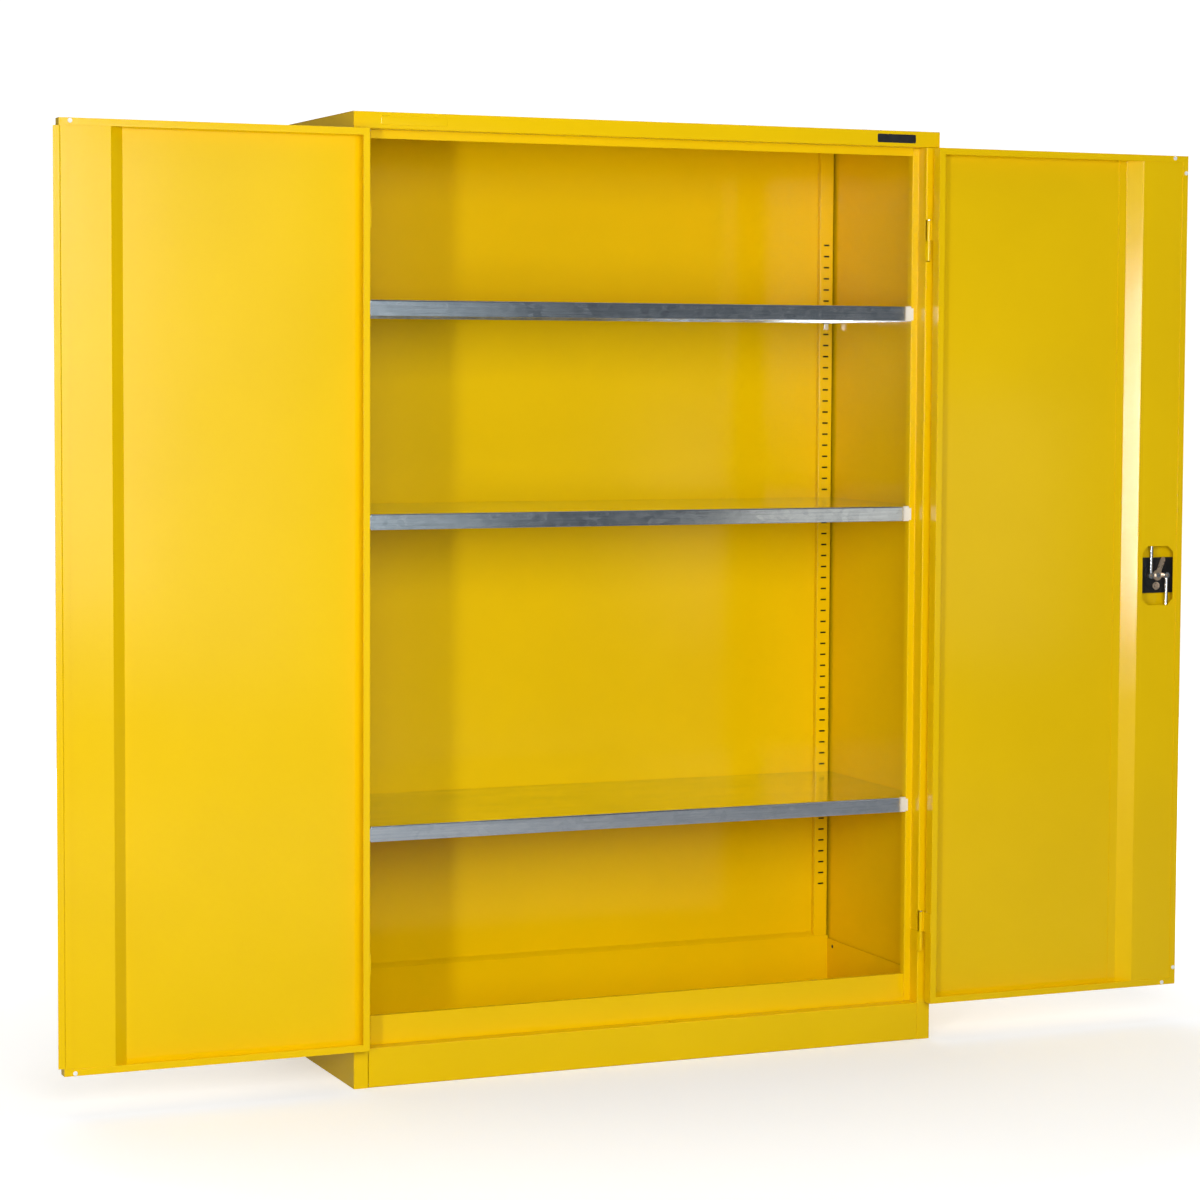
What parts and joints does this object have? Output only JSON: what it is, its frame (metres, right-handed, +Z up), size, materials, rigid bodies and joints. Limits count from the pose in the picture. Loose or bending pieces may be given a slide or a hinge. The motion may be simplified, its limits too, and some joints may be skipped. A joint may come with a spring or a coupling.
{
  "type": "flammable storage cabinet",
  "caption": "Wide double-door steel storage cabinet, doors swung fully open, with lift-out galvanised shelves on slotted uprights, a sump tray and a wing handle driving vertical lock rods.",
  "frame": {"origin": "on the floor under the middle of the opened cabinet's outline", "axes": "+X along the cabinet's width to its right, +Y from the doors to the back panel, +Z up"},
  "size_m": [2.3635, 0.504, 1.83],
  "materials": {
    "yellow_paint": "gloss powder coat",
    "galvanised_steel": "galvanised sheet",
    "plated_steel": "bright plated",
    "black_plastic": "moulded black",
    "white_nylon": "white nylon"
  },
  "bodies": {
    "cabinet": {"side_panel_left": "yellow_paint", "side_panel_right": "yellow_paint", "back_panel": "yellow_paint", "top_panel": "yellow_paint", "header_stop": "yellow_paint", "plinth_front": "yellow_paint", "sump_tray": "yellow_paint", "upright_rear_left": "yellow_paint", "upright_rear_right": "yellow_paint", "upright_front_left": "yellow_paint", "upright_front_right": "yellow_paint", "clip_top_rear_left": "galvanised_steel", "clip_top_rear_right": "galvanised_steel", "clip_top_front_left": "galvanised_steel", "clip_top_front_right": "galvanised_steel", "clip_middle_rear_left": "galvanised_steel", "clip_middle_rear_right": "galvanised_steel", "clip_middle_front_left": "galvanised_steel", "clip_middle_front_right": "galvanised_steel", "clip_bottom_rear_left": "galvanised_steel", "clip_bottom_rear_right": "galvanised_steel", "clip_bottom_front_left": "galvanised_steel", "clip_bottom_front_right": "galvanised_steel", "hinge_frame_leaf_left_lower": "yellow_paint", "hinge_pin_left_lower": "plated_steel", "hinge_frame_leaf_left_upper": "yellow_paint", "hinge_pin_left_upper": "plated_steel", "hinge_frame_leaf_right_lower": "yellow_paint", "hinge_pin_right_lower": "plated_steel", "hinge_frame_leaf_right_upper": "yellow_paint", "hinge_pin_right_upper": "plated_steel"},
    "left_door": {"door_skin_left": "yellow_paint", "door_stiffener_left": "yellow_paint", "meeting_strip": "yellow_paint", "bumper_left_top": "white_nylon", "bumper_left_bottom": "white_nylon", "hinge_door_leaf_left_lower": "yellow_paint", "hinge_door_leaf_left_upper": "yellow_paint"},
    "right_door": {"door_skin_right": "yellow_paint", "door_stiffener_right": "yellow_paint", "bumper_right_top": "white_nylon", "bumper_right_bottom": "white_nylon", "bumper_right_edge_top": "white_nylon", "bumper_right_edge_bottom": "white_nylon", "hinge_door_leaf_right_lower": "yellow_paint", "hinge_door_leaf_right_upper": "yellow_paint", "handle_housing": "black_plastic", "rod_guide_upper": "black_plastic", "rod_guide_lower": "black_plastic"},
    "handle": {"handle_grip": "black_plastic", "spindle": "plated_steel", "lock_cam": "plated_steel", "cam_screw": "plated_steel"},
    "key_barrel": {"lock_cylinder": "plated_steel"},
    "upper_rod": {"lock_rod_upper": "plated_steel"},
    "lower_rod": {"lock_rod_lower": "plated_steel"},
    "top_shelf": {"shelf_top": "galvanised_steel"},
    "middle_shelf": {"shelf_middle": "galvanised_steel"},
    "bottom_shelf": {"shelf_bottom": "galvanised_steel"}
  },
  "joints": [
    {"name": "left_door_swing", "type": "hinge", "parent": "cabinet", "child": "left_door", "pos_m": [-0.5895, -0.2168, 0], "axis": [0, 0, 1], "range_deg": [0, 180]},
    {"name": "right_door_swing", "type": "hinge", "parent": "cabinet", "child": "right_door", "pos_m": [0.5895, -0.2168, 0], "axis": [0, 0, -1], "range_deg": [0, 180]},
    {"name": "handle_turn", "type": "hinge", "parent": "right_door", "child": "handle", "pos_m": [1.126, -0.23, 0.934], "axis": [0, 1, 0], "range_deg": [0, 90]},
    {"name": "key_turn", "type": "hinge", "parent": "right_door", "child": "key_barrel", "pos_m": [1.126, -0.23, 0.9115], "axis": [0, 1, 0], "range_deg": [0, 90]},
    {"name": "upper_rod_pivot", "type": "hinge", "parent": "handle", "child": "upper_rod", "pos_m": [1.107, -0.2401, 0.934], "axis": [0, 1, 0], "range_deg": [-92, 0]},
    {"name": "lower_rod_pivot", "type": "hinge", "parent": "handle", "child": "lower_rod", "pos_m": [1.145, -0.2401, 0.934], "axis": [0, 1, 0], "range_deg": [-92, 0]},
    {"name": "top_shelf_lift", "type": "slide", "parent": "cabinet", "child": "top_shelf", "axis": [0, 0, 1], "range_m": [0, 0.04]},
    {"name": "middle_shelf_lift", "type": "slide", "parent": "cabinet", "child": "middle_shelf", "axis": [0, 0, 1], "range_m": [0, 0.04]},
    {"name": "bottom_shelf_lift", "type": "slide", "parent": "cabinet", "child": "bottom_shelf", "axis": [0, 0, 1], "range_m": [0, 0.04]}
  ],
  "couplings": [
    {"joint": "upper_rod_pivot", "follows": "handle_turn", "ratio": -1.0144},
    {"joint": "lower_rod_pivot", "follows": "handle_turn", "ratio": -1.0145}
  ]
}
